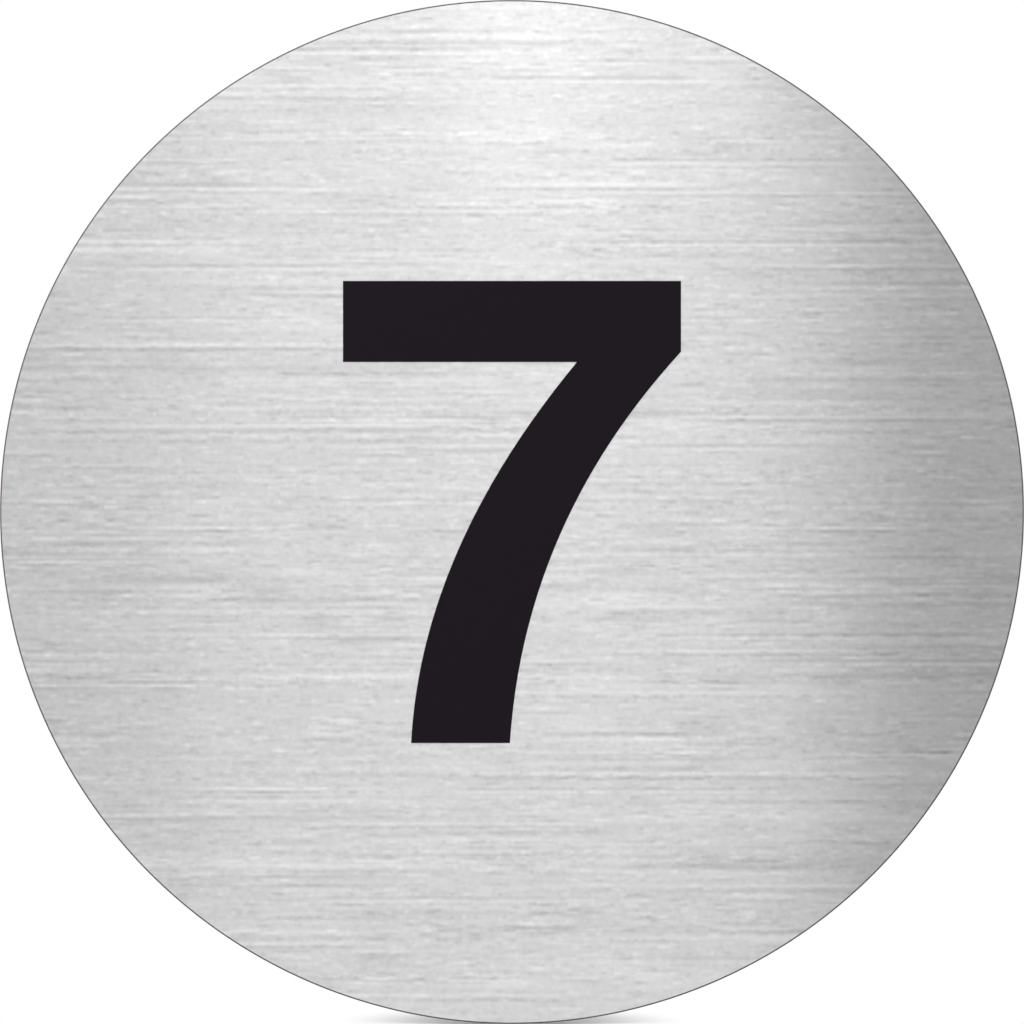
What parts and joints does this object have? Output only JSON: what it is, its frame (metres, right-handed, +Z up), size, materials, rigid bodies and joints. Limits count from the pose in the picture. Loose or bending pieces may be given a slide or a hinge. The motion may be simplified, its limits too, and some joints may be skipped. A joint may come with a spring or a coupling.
{
  "type": "house number sign",
  "caption": "Round brushed stainless steel house number sign with a flat black seven on its face and a round of double-sided tape on its back to stick it to a wall or door.",
  "frame": {"origin": "centre of the tape's outer face, the face that sticks to the wall", "axes": "+Z up as the numeral is read, +X to the reader's right, +Y into the wall, so the sign faces -Y"},
  "size_m": [0.1, 0.0026, 0.1],
  "materials": {
    "brushed_stainless": "straight brushed grain running left to right, with deburred edges",
    "black_film": "matt black film with cut edges",
    "foam_tape": "grey closed-cell acrylic foam with a tacky matt face"
  },
  "bodies": {
    "root": {"plate": "brushed_stainless", "numeral": "black_film", "mounting_tape": "foam_tape"}
  },
  "joints": []
}
